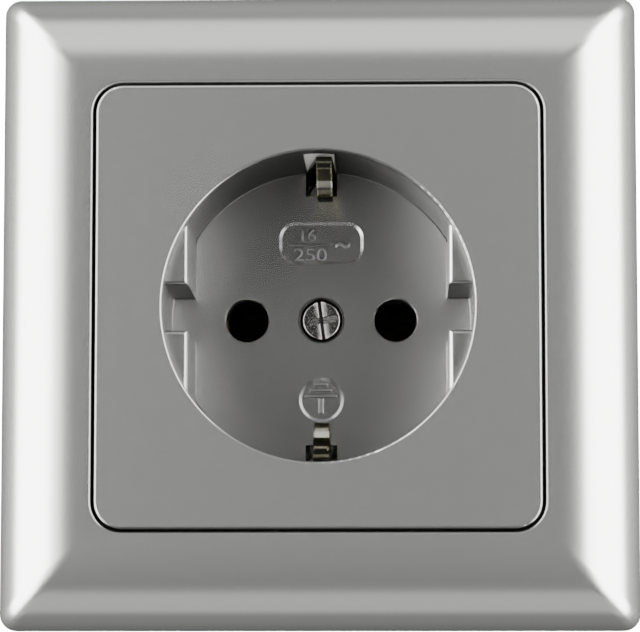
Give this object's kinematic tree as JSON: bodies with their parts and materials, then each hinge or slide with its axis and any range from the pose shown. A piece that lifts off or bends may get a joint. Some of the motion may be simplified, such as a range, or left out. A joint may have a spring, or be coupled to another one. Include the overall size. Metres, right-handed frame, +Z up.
{
  "type": "type f wall socket",
  "caption": "Flush-mounted earthed wall socket: round recessed plug well in a square plate, pillow-section cover frame, screw-fixed ring and insulated base behind",
  "frame": {"origin": "centre of the socket on the wall plane, which is the back face of the support ring", "axes": "+Y into the wall, +Z up, +X to the right as seen from the room; the plug goes in along +Y"},
  "size_m": [0.0796, 0.0405, 0.0796],
  "materials": {
    "silver_lacquer_frame": "moulded plastic in satin silver lacquer",
    "silver_lacquer_plate": "moulded plastic in satin silver lacquer",
    "nickel_plate": "nickel-plated steel screw",
    "white_nylon": "natural nylon washer",
    "brass": "turned brass",
    "galvanised_steel": "galvanised sheet steel",
    "black_moulding": "black thermoset moulding",
    "black_cover": "black thermoplastic moulding",
    "tinned_steel": "matt tinned sheet steel",
    "nickel_bronze": "nickel-plated bronze strip",
    "rivet_steel": "zinc-plated steel rivet",
    "contact_brass": "rolled contact brass",
    "spring_steel": "blued spring steel",
    "zinc_steel": "zinc-plated steel cage",
    "zinc_screw": "zinc-plated steel screw"
  },
  "bodies": {
    "root": {"cover_frame": "silver_lacquer_frame", "centre_plate": "silver_lacquer_plate", "centre_screw": "nickel_plate", "screw_retainer": "white_nylon", "threaded_bush": "brass", "support_ring": "galvanised_steel", "socket_base": "black_moulding", "rear_cover": "black_cover", "earth_strap": "tinned_steel", "earth_spring_top": "nickel_bronze", "earth_spring_bottom": "nickel_bronze", "earth_rivets": "rivet_steel", "ring_rivets": "rivet_steel", "live_contact": "contact_brass", "neutral_contact": "contact_brass", "live_contact_clip": "spring_steel", "neutral_contact_clip": "spring_steel", "live_clamp_cage": "zinc_steel", "neutral_clamp_cage": "zinc_steel", "earth_clamp_cage": "zinc_steel", "live_terminal_screw": "zinc_screw", "neutral_terminal_screw": "zinc_screw", "earth_terminal_screw": "zinc_screw"}
  },
  "joints": []
}
